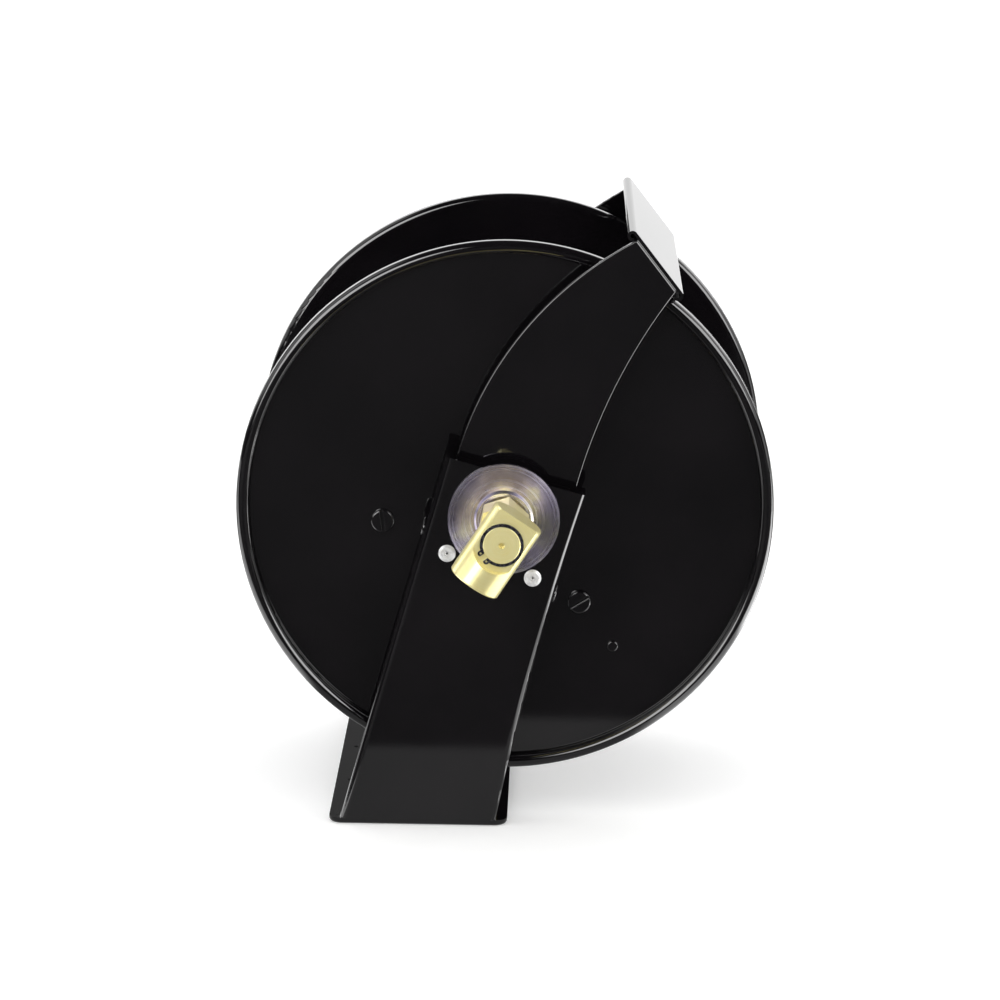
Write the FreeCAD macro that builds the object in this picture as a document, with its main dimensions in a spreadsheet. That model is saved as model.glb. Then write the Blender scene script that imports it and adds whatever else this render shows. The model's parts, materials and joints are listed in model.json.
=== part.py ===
import FreeCAD, Part
import math
import os
import re

import Sketcher
from FreeCAD import Placement, Rotation, Vector

# Fixed-base spring-return hose reel.  Millimetres, +Z up, the reel's axis runs along Y.
# The origin is the centre of the base plate's underside.  "Near" is the water-inlet
# side (-Y) and "far" is the spring side (+Y).  Every piece is a separate solid.

SIZES = {
    # making: how far cutters run past a face, and how far joined pieces lap
    "past_end": 1, "join_lap": 0.5,
    # whole reel
    "reel_width": 300, "hub_across": 67, "hub_height": 257,
    # flange discs
    "disc_radius": 220, "disc_sheet": 2, "rim_roll": 5.5, "panel_recess": 9,
    "roll_gap": 0.8, "disc_eye": 22,
    # drum
    "drum_radius": 112, "drum_sheet": 2, "hub_plate_radius": 80, "hub_plate_sheet": 4,
    # base plate
    "base_width": 146, "base_sheet": 5, "base_corner": 11, "base_edge_round": 3.5,
    "fixing_across": 92, "fixing_along": 290, "fixing_hole": 5.5,
    "pilot_hole": 2, "pilot_across": 61.5, "pilot_gap": 109, "pilot_shift": 21,
    # posts: corners are measured from the hub
    "web_gap": 45, "post_sheet": 3, "post_flange": 30, "post_bend": 5,
    "post_lean": 15.5, "post_side_bow": 2400,
    "post_upper_left_across": -47, "post_upper_left_up": 49.8,
    "post_upper_right_across": 65.6, "post_upper_right_up": 20,
    "post_lower_left_across": -131, "post_lower_right_across": -3.5,
    "post_eye": 21, "flange_left_out": 58.7, "flange_right_out": 56.3, "flange_bolt_deep": 16,
    # guide arms: corners are measured from the hub
    "arm_gap": 22, "arm_plate": 5, "arm_root_half": 50.3, "arm_root_down": 66,
    "arm_shoulder_left": 41.4, "arm_shoulder_right": 33.6,
    "arm_tip_outer_across": 104, "arm_tip_outer_up": 225.2,
    "arm_tip_inner_across": 136, "arm_tip_inner_up": 184.4,
    "arm_outer_bow": 290, "arm_inner_bow": 470, "arm_eye": 36,
    "arm_edge_round": 1.2, "arm_tip_round": 2.6,
    "ear_left_out": 55.6, "ear_right_out": 53.2, "ear_reach": 18, "ear_bottom": -64,
    "ear_left_top": -14, "ear_right_top": -36,
    # bolts through post flange and arm ear, measured down the post from the hub
    "arm_bolt_radius": 4, "arm_bolt_head": 8, "arm_bolt_head_rise": 2.6, "arm_bolt_crown": 1.8,
    "arm_bolt_end": 14.5, "bolt_way_outer": 6, "bolt_way_inner": 20, "head_gap": 0.02,
    "arm_bolt_left_down": 27.5, "arm_bolt_right_down": 51.5, "arm_nut_flats": 13, "arm_nut_rise": 5,
    # cross plate between the arm tips
    "cross_sheet": 2.5, "cross_over": 4.6, "cross_span": 61, "cross_inset": 2.8,
    "curl_radius": 4.2, "curl_turn": 250,
    # bearing housing, arbor bracket and ball bearing
    "housing_half": 47, "housing_down": -53, "housing_up": 31, "housing_sheet": 3,
    "bearing_radius": 26, "bearing_width": 15, "bearing_bore": 12.5, "bearing_wall": 3.5,
    "race_sheet": 3.4, "ball_radius": 3.9, "ball_track": 19.25, "ball_gap": 0.05,
    "bracket_wall": 9, "bracket_deep": 14,
    "rivet_out": 54, "rivet_spread": 41.8, "rivet_radius": 2.4, "rivet_head": 7, "rivet_rise": 1.6,
    "rivet_pin": 0.9, "rivet_tail": 2.5, "rivet_flare": 1, "rivet_edge": 0.5, "rivet_slope": 2,
    "rivet_well": 2.2, "rivet_well_foot": 1.8, "rivet_well_floor": 0.4,
    # hub covers
    "cover_radius": 45.3, "cover_sheet": 3, "boss_radius": 23, "boss_rise": 4,
    "boss_foot": 1, "boss_edge": 0.8, "cover_gap": 0.6,
    "dimple_out": 29, "dimple_radius": 1.7, "dimple_deep": 1.5, "dimple_turn": 29.5,
    # inlet shaft and collar
    "shaft_radius": 12.5, "shaft_bore": 6.5, "shaft_inner": 62, "shaft_outer": 205,
    "collar_radius": 20, "collar_inner": 154, "collar_width": 12,
    "collar_screw_radius": 3, "collar_screw_sunk": 0.4, "socket_radius": 1.5, "socket_deep": 2,
    # swivel
    "stem_neck": 15, "hex_flats": 37, "hex_inner": 208, "hex_length": 34, "hex_turn": 42,
    "stem_radius": 14.7, "stem_end": 298, "stem_edge": 0.5, "stem_bore_past": 8, "port_radius": 4.5,
    "stem_dimple": 2.4, "stem_dimple_deep": 4,
    "ring_groove": 13.4, "ring_radius": 17.2, "ring_sheet": 1.2, "ring_seat": 295.65,
    "ring_clear": 0.05, "ring_turn": 215, "ring_opening": 4.6,
    "lug_turn": 12.5, "lug_out": 0.6, "lug_radius": 2.3, "lug_bore": 0.9,
    "bar_radius": 21.75, "bar_depth": 282, "bar_lean": 33, "bar_upper": 24, "bar_lower": 40.5,
    "bar_edge": 1.2, "throat_start": 10,
    "spot_radius": 22.6, "spot_depth": 295.5, "inlet_radius": 9.3, "inlet_length": 19,
    "swivel_gap": 0.06, "gallery_radius": 17, "gallery_half": 6,
    "seal_wire": 0.6, "seal_gap": 0.12, "seal_beyond": 3, "seal_groove_half": 0.8,
    # tie bolts
    "tie_out": 101, "tie_first": 188, "tie_radius": 4, "tie_head": 9.5, "tie_head_rise": 3.6,
    "tie_head_round": 1.6, "tie_end": 2,
    "tie_slot": 2.7, "tie_slot_deep": 1.6, "tie_nut_flats": 13, "tie_nut_rise": 6.5,
    "stop_out": 147.5, "stop_turn": -52.3, "stop_head": 4.6, "stop_rise": 1.6, "stop_radius": 2.4,
    "stop_tail": 1.5, "stop_round": 1.2,
    # spring drive
    "case_radius": 95, "case_sheet": 1.5, "case_inner": 44, "arbor_radius": 12.5, "arbor_inner": 45,
    "arbor_outer": 221, "arbor_edge": 1.5, "arbor_slot": 2.2, "slot_room": 2,
    "bush_radius": 16, "bush_gap": 0.05, "bush_flange": 21, "bush_past": 2, "bush_flange_sheet": 2.5,
    "bush_cap": 0.4, "bush_inner_end": 5,
    "spring_inner": 13.4, "spring_outer": 86, "spring_strip": 1.4, "spring_turns": 16,
    "spring_width": 75, "spring_start": 51, "arbor_nut_flats": 36, "arbor_nut_rise": 12,
    # ratchet and latch
    "ratchet_radius": 62, "ratchet_bore": 40, "ratchet_sheet": 6, "notch_half": 4.6, "notch_deep": 6,
    "ratchet_screw_out": 50, "ratchet_screw_radius": 3, "ratchet_screw_head": 5.5,
    "ratchet_screw_rise": 3, "ratchet_screw_edge": 1.5, "ratchet_screw_slope": 2,
    "latch_across": 45, "latch_up": 72, "latch_stud_radius": 4, "latch_boss": 8.5, "latch_sheet": 4,
    "latch_gap": 1, "latch_tip_out": 58, "latch_tip_half": 2.4, "latch_bore_gap": 0.08,
    "latch_wire": 0.7, "latch_coil": 6.2, "latch_leg": 15,
    "stud_end": 0.6, "stud_step": 0.6, "clip_gap": 0.3, "clip_out": 2, "clip_sheet": 2,
    "pawl_neck": 2, "pawl_back": 12, "pawl_side": 3, "pawl_skew": 2, "pawl_waist": 1,
    # water outlet at the drum
    "outlet_turn": -62, "manifold_radius": 21, "manifold_length": 34, "manifold_lap": 4,
    "gallery_past": 3, "riser_radius": 10.5, "riser_bore": 6.3, "riser_inner": 5, "drum_way_half": 8,
    "coupling_seat": 6, "coupling_flats": 27, "coupling_inner": 114, "coupling_length": 24,
}

doc = FreeCAD.newDocument("hose_reel")
sheet = doc.addObject("Spreadsheet::Sheet", "Sizes")
for row, (alias, value) in enumerate(SIZES.items(), 1):
    sheet.set(f"A{row}", alias)
    sheet.set(f"B{row}", str(value))
    sheet.setAlias(f"B{row}", alias)
doc.recompute()

# Depths measured outwards along Y from the reel's middle plane.
RIM = "reel_width / 2"
PANEL = f"({RIM} - panel_recess)"
PANEL_BACK = f"({PANEL} - disc_sheet)"
WEB = f"({RIM} + web_gap)"
WEB_BACK = f"({WEB} - post_sheet)"
ARM = f"({RIM} + arm_gap)"
ARM_BACK = f"({ARM} - arm_plate)"
HOUSING_BACK = f"({WEB_BACK} - housing_sheet)"
COVER_FACE = f"({WEB} + cover_sheet)"
BOSS_FACE = f"({COVER_FACE} + boss_rise)"

OUTLET_DEPTH = "(manifold_length / 2 - shaft_inner - manifold_lap)"

# How steeply the arms' tips, and the plate across them, fall towards +X.
TIP_SLOPE = "atan((arm_tip_outer_up - arm_tip_inner_up) / (arm_tip_inner_across - arm_tip_outer_across))"

HUB = ("hub_across", "hub_height")
LONG_EDGE = 200     # only a post's bends are straight or gently bowed edges longer than this
BALLS = 9
NOTCHES = 12
TIE_SLOT_TURNS = (98, 32, 60)
NEAR, FAR = -1, 1
SIDE_NAME = {NEAR: "near", FAR: "far"}
NODES = []


def link(text):
    """Turn the alias words of a size into references to the sheet."""
    return re.sub(r"[a-z]+(?:_[a-z]+)+", lambda word: "Sizes." + word.group(), text)


def number(text):
    """The present value of a size."""
    value = sheet.evalExpression(link(text))
    return float(getattr(value, "Value", value))


def bind(item, **sizes):
    for prop, size in sizes.items():
        item.setExpression(prop, link(size))
    return item


def put(item, across, depth, up, rotation=None):
    """Place an item, its place bound to the sheet."""
    if rotation is not None:
        item.Placement = Placement(Vector(), rotation)
    item.setExpression("Placement.Base.x", link(across))
    item.setExpression("Placement.Base.y", link(depth))
    item.setExpression("Placement.Base.z", link(up))
    return item


def node(item, name):
    """Give a finished sub-part the label that names its file."""
    item.Label = name
    NODES.append(item)
    return item


def polar(out, turn, centre=HUB):
    """The place at a distance and an angle from a centre, seen from the near side."""
    return (f"{centre[0]} + {out} * cos({turn})", f"{centre[1]} + {out} * sin({turn})")


def on_post(along, across):
    """A place on the leaning post: along it upwards and across it to the right, from the hub."""
    x = f"(({along}) * sin(post_lean) + ({across}) * cos(post_lean))"
    z = f"(({along}) * cos(post_lean) - ({across}) * sin(post_lean))"
    return x, z


# ---------------------------------------------------------------- sketch helpers

def sketch_in(body, name, offset=None):
    sketch = body.newObject("Sketcher::SketchObject", name)
    plane = next(item for item in body.Origin.OriginFeatures if item.Role == "XY_Plane")
    sketch.AttachmentSupport = [(plane, "")]
    sketch.MapMode = "FlatFace"
    if offset is not None:
        sketch.setExpression("AttachmentOffset.Base.z", link(offset))
    return sketch


def pin_point(sketch, edge, end, place):
    """Hold an edge's end at a place given by two sizes."""
    for kind, axis, size in (("DistanceX", -2, place[0]), ("DistanceY", -1, place[1])):
        value = number(size)
        if abs(value) < 1e-9:
            sketch.addConstraint(Sketcher.Constraint("PointOnObject", edge, end, axis))
        else:
            index = sketch.addConstraint(Sketcher.Constraint(kind, -1, 1, edge, end, value))
            sketch.setExpression(f"Constraints[{index}]", link(size))


def bowed_edge(start, end, radius, side):
    """An arc from start to end that bows to the left (+1) or right (-1) of the way along."""
    chord = end - start
    left = Vector(-chord.y, chord.x, 0).normalize() * side
    reach = math.sqrt(radius ** 2 - (chord.Length / 2) ** 2)
    centre = (start + end) / 2 - left * reach
    first, last = (end, start) if side > 0 else (start, end)
    angles = [math.atan2(point.y - centre.y, point.x - centre.x) for point in (first, last)]
    return Part.ArcOfCircle(Part.Circle(centre, Vector(0, 0, 1), radius), *angles)


def outline(sketch, places, bows=None):
    """A closed outline through places; bows gives an edge a radius and a side."""
    bows = bows or {}
    points = [Vector(number(x), number(y), 0) for x, y in places]
    ends = []
    for index, start in enumerate(points):
        end = points[(index + 1) % len(points)]
        if index in bows:
            radius, side = bows[index]
            edge = sketch.addGeometry(bowed_edge(start, end, number(radius), side))
            ends.append((edge, 2, 1) if side > 0 else (edge, 1, 2))
            held = sketch.addConstraint(Sketcher.Constraint("Radius", edge, number(radius)))
            sketch.setExpression(f"Constraints[{held}]", link(radius))
        else:
            edge = sketch.addGeometry(Part.LineSegment(start, end))
            ends.append((edge, 1, 2))
    for index, (edge, first, last) in enumerate(ends):
        other, other_first, _ = ends[(index + 1) % len(ends)]
        sketch.addConstraint(Sketcher.Constraint("Coincident", edge, last, other, other_first))
    for (edge, first, _), place in zip(ends, places):
        pin_point(sketch, edge, first, place)


def circle(sketch, radius, place=("0", "0")):
    centre = Vector(number(place[0]), number(place[1]), 0)
    edge = sketch.addGeometry(Part.Circle(centre, Vector(0, 0, 1), number(radius)))
    held = sketch.addConstraint(Sketcher.Constraint("Radius", edge, number(radius)))
    sketch.setExpression(f"Constraints[{held}]", link(radius))
    pin_point(sketch, edge, 3, place)


# ---------------------------------------------------------------- solid helpers

FACING = Rotation(Vector(1, 0, 0), 90)       # sketch X, Y become world X, Z; pads grow to -Y
ALONG_Y = Rotation(Vector(1, 0, 0), -90)     # a primitive's Z becomes +Y


def new_body(name):
    return doc.addObject("PartDesign::Body", name)


def pad(body, sketch, length):
    feature = body.newObject("PartDesign::Pad", sketch.Name + "_pad")
    feature.Profile = sketch
    return bind(feature, Length=length)


def pocket(body, sketch, length):
    """A pocket cut the way that pads grow."""
    feature = body.newObject("PartDesign::Pocket", sketch.Name + "_pocket")
    feature.Profile = sketch
    feature.Reversed = True
    return bind(feature, Length=length)


def round_edges(body, name, radius, chosen):
    """Round the edges of a body that the test picks."""
    doc.recompute()
    base = body.Tip
    picked = [f"Edge{index}" for index, edge in enumerate(base.Shape.Edges, 1) if chosen(edge)]
    feature = body.newObject("PartDesign::Fillet", name)
    feature.Base = (base, picked)
    return bind(feature, Radius=radius)


def turned(name, profile, side=NEAR, centre=HUB):
    """A body turned about an axis along Y from (radius, depth) pairs, depth going outwards."""
    body = new_body(name)
    sketch = sketch_in(body, name + "_profile")
    outline(sketch, [(radius, f"{side} * ({depth})") for radius, depth in profile])
    feature = body.newObject("PartDesign::Revolution", name + "_turn")
    feature.Profile = sketch
    feature.ReferenceAxis = (sketch, ["V_Axis"])
    feature.Angle = 360
    return put(body, centre[0], "0", centre[1])


def tube(name, outer, inner, start, end, side=NEAR, centre=HUB):
    return turned(name, [(inner, start), (outer, start), (outer, end), (inner, end)], side, centre)


def rod(name, radius, start, end, side=NEAR, centre=HUB):
    """A round bar along Y between two depths."""
    item = bind(doc.addObject("Part::Cylinder", name), Radius=radius, Height=f"({end}) - ({start})")
    low = start if side == FAR else f"-({end})"
    return put(item, centre[0], low, centre[1], ALONG_Y)


def way_through(name, radius, start, end, side=NEAR, centre=HUB):
    """A round cutter along Y that runs past both depths."""
    return rod(name, radius, f"{start} - past_end", f"{end} + past_end", side, centre)


def hexagon(name, flats, start, end, side=NEAR, centre=HUB, turn=0):
    """A hexagonal bar along Y between two depths."""
    item = doc.addObject("Part::Prism", name)
    item.Polygon = 6
    bind(item, Circumradius=f"{flats} / sqrt(3)", Height=f"({end}) - ({start})")
    low = start if side == FAR else f"-({end})"
    return put(item, centre[0], low, centre[1], ALONG_Y * Rotation(Vector(0, 0, 1), turn))


def spoke(name, radius, start, end, turn, depth="0"):
    """A round bar that stands out from the reel's axis between two distances."""
    item = bind(doc.addObject("Part::Cylinder", name), Radius=radius, Height=f"({end}) - ({start})")
    x, z = polar(f"({start})", turn)
    return put(item, x, depth, z, Rotation(Vector(0, 1, 0), 90 - number(turn)))


def joined(name, *pieces):
    item = doc.addObject("Part::MultiFuse", name)
    item.Shapes = list(pieces)
    return item


def cut(name, base, *tools):
    item = doc.addObject("Part::Cut", name)
    item.Base = base
    item.Tool = tools[0] if len(tools) == 1 else joined(name + "_tools", *tools)
    return item


def group(name, pieces):
    item = doc.addObject("Part::Compound", name)
    item.Links = list(pieces)
    return item


# ---------------------------------------------------------------- frame

def base_plate():
    body = new_body("base_plate")
    sketch = sketch_in(body, "base_outline")
    half, reach = "base_width / 2", WEB
    outline(sketch, [(f"-{half}", f"-{reach}"), (half, f"-{reach}"), (half, reach), (f"-{half}", reach)])
    pad(body, sketch, "base_sheet")
    height = number("base_sheet")
    round_edges(body, "base_corners", "base_corner",
                lambda edge: abs(edge.BoundBox.ZLength - height) < 1e-6)
    round_edges(body, "base_ends", "base_edge_round",
                lambda edge: edge.BoundBox.ZMax < 1e-6 and edge.BoundBox.YLength < 1e-6)
    holes = sketch_in(body, "base_holes")
    for across in ("-1", "1"):
        for along in ("-1", "1"):
            circle(holes, "fixing_hole", (f"{across} * fixing_across / 2", f"{along} * fixing_along / 2"))
    for along in ("-1", "1"):
        circle(holes, "pilot_hole", ("-pilot_across", f"{along} * pilot_gap / 2 - pilot_shift"))
    pocket(body, holes, "base_sheet")
    node(body, "base_plate")


def post(side):
    """A leaning channel, its web outwards and its two flanges turned in towards the reel."""
    name = "post_" + SIDE_NAME[side]
    body = new_body(name + "_sheet")
    foot = "(base_sheet - hub_height)"
    corners = [("post_lower_left_across", foot), ("post_lower_right_across", foot),
               ("post_upper_right_across", "post_upper_right_up"),
               ("post_upper_left_across", "post_upper_left_up")]
    face = sketch_in(body, name + "_face")
    outline(face, corners, {1: ("post_side_bow", 1)})
    pad(body, face, "post_flange")
    # the hollow behind the web, open at the top and at the foot
    wall = "post_sheet / cos(post_lean)"
    hollow = sketch_in(body, name + "_hollow", "post_sheet" if side == FAR else None)
    slope = "tan(post_lean)"
    room = 20           # how far the hollow's outline runs past the sheet at each end
    foot_slope = 0.2    # the bowed right edge stands steeper at its foot
    inner = [(f"post_lower_left_across + {wall} - {room} * {slope}", f"{foot} - {room}"),
             (f"post_lower_right_across - {wall} - {room} * {foot_slope}", f"{foot} - {room}"),
             (f"post_upper_right_across - {wall} + {room} * {slope}", f"post_upper_right_up + {room}"),
             (f"post_upper_left_across + {wall} + {room} * {slope}", f"post_upper_left_up + {room}")]
    outline(hollow, inner, {1: ("post_side_bow", 1)})
    pocket(body, hollow, "post_flange - post_sheet")
    web_plane = number("post_flange") if side == NEAR else 0
    round_edges(body, name + "_bends", "post_bend",
                lambda edge: edge.Length > LONG_EDGE and abs(edge.BoundBox.ZMin - web_plane) < 1e-3
                and edge.BoundBox.ZLength < 1e-3)
    eye = sketch_in(body, name + "_eye")
    circle(eye, "post_eye")
    for turn in ("-1", "1"):
        circle(eye, "rivet_radius", rivet_place(turn))
    pocket(body, eye, "post_flange")
    put(body, HUB[0], f"-({WEB} - post_flange)" if side == NEAR else WEB, HUB[1], FACING)
    bolts = [bolt_way(f"{name}_bolt_way_{hand}", side, hand) for hand in (-1, 1)]
    return node(cut(name + "_drilled", body, *bolts), name)


def flange_bolt_depth(side):
    return f"{side} * ({WEB} - flange_bolt_deep)"


def rivet_place(turn):
    """Where a blind rivet stands, from the hub; turn is -1 or 1."""
    return on_post(f"-rivet_out * cos({turn} * rivet_spread)", f"rivet_out * sin({turn} * rivet_spread)")


def arm_bolt_bar(name, radius, side, hand, start, end):
    """A bar across the post's flange, from a distance outside its outer face inwards."""
    down = "arm_bolt_left_down" if hand < 0 else "arm_bolt_right_down"
    edge = "flange_left_out" if hand < 0 else "flange_right_out"
    item = bind(doc.addObject("Part::Cylinder", name), Radius=radius, Height=f"({end}) - ({start})")
    x, z = on_post(f"-{down}", f"{hand} * ({edge} - ({start}))")
    turn = Rotation(Vector(0, 1, 0), -hand * 90 + number("post_lean"))
    return put(item, f"{HUB[0]} + {x}", flange_bolt_depth(side), f"{HUB[1]} + {z}", turn)


def bolt_way(name, side, hand):
    return arm_bolt_bar(name, "arm_bolt_radius", side, hand, "-bolt_way_outer", "bolt_way_inner")


def guide_arm(side, channel):
    """A flat curved arm, its forked root bolted to the post's flanges by two fitted ears."""
    name = "guide_arm_" + SIDE_NAME[side]
    body = new_body(name + "_plate")
    face = sketch_in(body, name + "_face")
    places = [on_post("-arm_root_down", "-arm_root_half"), on_post("-arm_root_down", "arm_root_half"),
              on_post("arm_shoulder_right", "arm_root_half"),
              ("arm_tip_inner_across", "arm_tip_inner_up"), ("arm_tip_outer_across", "arm_tip_outer_up"),
              on_post("arm_shoulder_left", "-arm_root_half")]
    outline(face, places, {2: ("arm_inner_bow", 1), 4: ("arm_outer_bow", -1)})
    pad(body, face, "arm_plate")
    outer_plane = number("arm_plate") if side == NEAR else 0
    tip = Vector(number("arm_tip_outer_across + arm_tip_inner_across") / 2,
                 number("arm_tip_outer_up + arm_tip_inner_up") / 2, outer_plane)
    round_edges(body, name + "_tip", "arm_tip_round", lambda edge: (edge.CenterOfMass - tip).Length < 1e-3)
    round_edges(body, name + "_edges", "arm_edge_round",
                lambda edge: edge.BoundBox.ZLength < 1e-6 and (edge.CenterOfMass - tip).Length > 10)
    eye = sketch_in(body, name + "_eye")
    circle(eye, "arm_eye")
    pocket(body, eye, "arm_plate")
    fork = sketch_in(body, name + "_fork")
    low = "-arm_root_down - past_end"
    outline(fork, [on_post(low, "-arm_eye"), on_post(low, "arm_eye"),
                   on_post("0", "arm_eye"), on_post("0", "-arm_eye")])
    pocket(body, fork, "arm_plate")
    put(body, HUB[0], f"-{ARM_BACK}" if side == NEAR else ARM, HUB[1], FACING)
    ears = []
    for hand, top, reach in ((-1, "ear_left_top", "ear_left_out"), (1, "ear_right_top", "ear_right_out")):
        ear_body = new_body(f"{name}_ear_{'left' if hand < 0 else 'right'}")
        ear = sketch_in(ear_body, ear_body.Name + "_face")
        inner, outer = f"{hand} * arm_root_half", f"{hand} * {reach}"
        outline(ear, [on_post("ear_bottom", inner), on_post("ear_bottom", outer),
                      on_post(top, outer), on_post(top, inner)])
        pad(ear_body, ear, "ear_reach")
        start = f"-{ARM_BACK}" if side == NEAR else f"{ARM_BACK} + ear_reach"
        put(ear_body, HUB[0], start, HUB[1], FACING)
        ears.append(ear_body)
    ways = [bolt_way(f"{name}_bolt_way_{hand}", side, hand) for hand in (-1, 1)]
    fitted = cut(name + "_fitted", joined(name + "_eared", body, *ears), channel)
    return node(cut(name + "_drilled", fitted, *ways), name)


def arm_bolts():
    bolts, nuts = [], []
    for side in (NEAR, FAR):
        for hand in (-1, 1):
            tag = f"{SIDE_NAME[side]}_{'left' if hand < 0 else 'right'}"
            shank = arm_bolt_bar(f"arm_bolt_shank_{tag}", "arm_bolt_radius", side, hand,
                                 "-join_lap", "arm_bolt_end")
            head = arm_bolt_bar(f"arm_bolt_head_{tag}", "arm_bolt_head", side, hand,
                                "-arm_bolt_head_rise", "-head_gap")
            crown = doc.addObject("Part::Fillet", f"arm_bolt_crown_{tag}")
            crown.Base = head
            doc.recompute()
            rims = [i for i, e in enumerate(head.Shape.Edges, 1) if e.Curve.TypeId == "Part::GeomCircle"]
            lean = number("post_lean")
            outward = Vector(hand * math.cos(math.radians(lean)), 0, -hand * math.sin(math.radians(lean)))
            outer = max(rims, key=lambda i: head.Shape.Edges[i - 1].CenterOfMass.dot(outward))
            crown.Edges = [(outer, number("arm_bolt_crown"), number("arm_bolt_crown"))]
            bolts.append(joined(f"arm_bolt_{tag}", shank, crown))
            nut = doc.addObject("Part::Prism", f"arm_nut_{tag}")
            nut.Polygon = 6
            bind(nut, Circumradius="arm_nut_flats / sqrt(3)", Height="arm_nut_rise")
            down = "arm_bolt_left_down" if hand < 0 else "arm_bolt_right_down"
            x, z = on_post(f"-{down}", f"{hand} * arm_root_half")
            turn = Rotation(Vector(0, 1, 0), -hand * 90 + lean)
            put(nut, f"{HUB[0]} + {x}", flange_bolt_depth(side), f"{HUB[1]} + {z}", turn)
            nuts.append(cut(f"arm_nut_bored_{tag}", nut, bolt_way(f"arm_nut_way_{tag}", side, hand)))
    node(group("arm_bolts", bolts), "arm_bolts")
    node(group("arm_nuts", nuts), "arm_nuts")


def cross_plate(arms):
    """The plate across the arm tips, its two long edges rolled back."""
    slope = number(TIP_SLOPE)
    half = f"({ARM} - cross_inset)"
    strip = bind(doc.addObject("Part::Box", "cross_strip"), Length="cross_span",
                 Width=f"2 * {half}", Height="cross_sheet")
    left = f"({HUB[0]} + arm_tip_outer_across - cross_over * cos({TIP_SLOPE}))"
    up = f"({HUB[1]} + arm_tip_outer_up + cross_over * sin({TIP_SLOPE}))"
    put(strip, left, f"-{half}", up, Rotation(Vector(0, 1, 0), slope))
    pieces = [strip]
    drop = "(cross_sheet - curl_radius)"
    for end, step in enumerate(("0", "cross_span")):
        x = f"{left} + {step} * cos({TIP_SLOPE}) + {drop} * sin({TIP_SLOPE})"
        z = f"{up} - {step} * sin({TIP_SLOPE}) + {drop} * cos({TIP_SLOPE})"
        start = 90 - slope - (number("curl_turn") if end else 0)
        shells = []
        for radius in ("curl_radius", "(curl_radius - cross_sheet)"):
            shell = bind(doc.addObject("Part::Cylinder", f"curl_{end}_{len(shells)}"),
                         Radius=radius, Height=f"2 * {half}", Angle="curl_turn")
            put(shell, x, half, z, FACING * Rotation(Vector(0, 0, 1), start))
            shells.append(shell)
        pieces.append(cut(f"curl_{end}", *shells))
    node(cut("guide_cross_plate", joined("cross_whole", *pieces), *arms), "guide_cross_plate")


# ---------------------------------------------------------------- hub hardware on the frame

def housing(name, side, bore, wall, inner_depth):
    """A plate riveted inside the post's web with a round boss round the reel's axis."""
    body = new_body(name + "_shell")
    face = sketch_in(body, name + "_face")
    outline(face, [on_post("housing_down", "-housing_half"), on_post("housing_down", "housing_half"),
                   on_post("housing_up", "housing_half"), on_post("housing_up", "-housing_half")])
    pad(body, face, "housing_sheet")
    holes = sketch_in(body, name + "_holes")
    for turn in ("-1", "1"):
        circle(holes, "rivet_radius", rivet_place(turn))
    pocket(body, holes, "housing_sheet")
    put(body, HUB[0], f"-{HOUSING_BACK}" if side == NEAR else WEB_BACK, HUB[1], FACING)
    boss = rod(name + "_boss", wall, inner_depth, f"{HOUSING_BACK} + join_lap", side)
    way = way_through(name + "_way", bore, inner_depth, WEB_BACK, side)
    node(cut(name, joined(name + "_solid", body, boss), way), name)


def ball_bearing():
    start, end = f"({HOUSING_BACK} - bearing_width)", HOUSING_BACK
    middle = f"({start} + bearing_width / 2)"
    outer = tube("outer_race", "bearing_radius", "bearing_radius - race_sheet", start, end)
    inner = tube("inner_race", "bearing_bore + race_sheet", "bearing_bore", start, end)
    for race, name in ((outer, "bearing_outer_race"), (inner, "bearing_inner_race")):
        track = doc.addObject("Part::Torus", name + "_track")
        bind(track, Radius1="ball_track", Radius2="ball_radius + ball_gap")
        put(track, HUB[0], f"-{middle}", HUB[1], ALONG_Y)
        node(cut(name, race, track), name)
    balls = []
    for index in range(BALLS):
        ball = bind(doc.addObject("Part::Sphere", f"ball_{index}"), Radius="ball_radius")
        x, z = polar("ball_track", f"{index} * 360 / {BALLS}")
        balls.append(put(ball, x, f"-{middle}", z))
    node(group("bearing_balls", balls), "bearing_balls")


def hub_cover(side):
    """A plated washer with a raised boss and four dimples, on the post's outer face."""
    name = "hub_cover_" + SIDE_NAME[side]
    bore = "shaft_radius + cover_gap" if side == NEAR else "arbor_radius"
    profile = [(bore, WEB), ("cover_radius", WEB), ("cover_radius", COVER_FACE),
               ("boss_radius + boss_foot", COVER_FACE), ("boss_radius", f"{COVER_FACE} + boss_foot"),
               ("boss_radius", f"{BOSS_FACE} - boss_edge"), ("boss_radius - boss_edge", BOSS_FACE),
               (bore, BOSS_FACE)]
    plate = turned(name + "_plate", profile, side)
    dimples = [rod(f"{name}_dimple_{index}", "dimple_radius", f"{COVER_FACE} - dimple_deep",
                   f"{COVER_FACE} + past_end", side, polar("dimple_out", f"(dimple_turn + {90 * index})"))
               for index in range(4)]
    node(cut(name, plate, *dimples), name)


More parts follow.
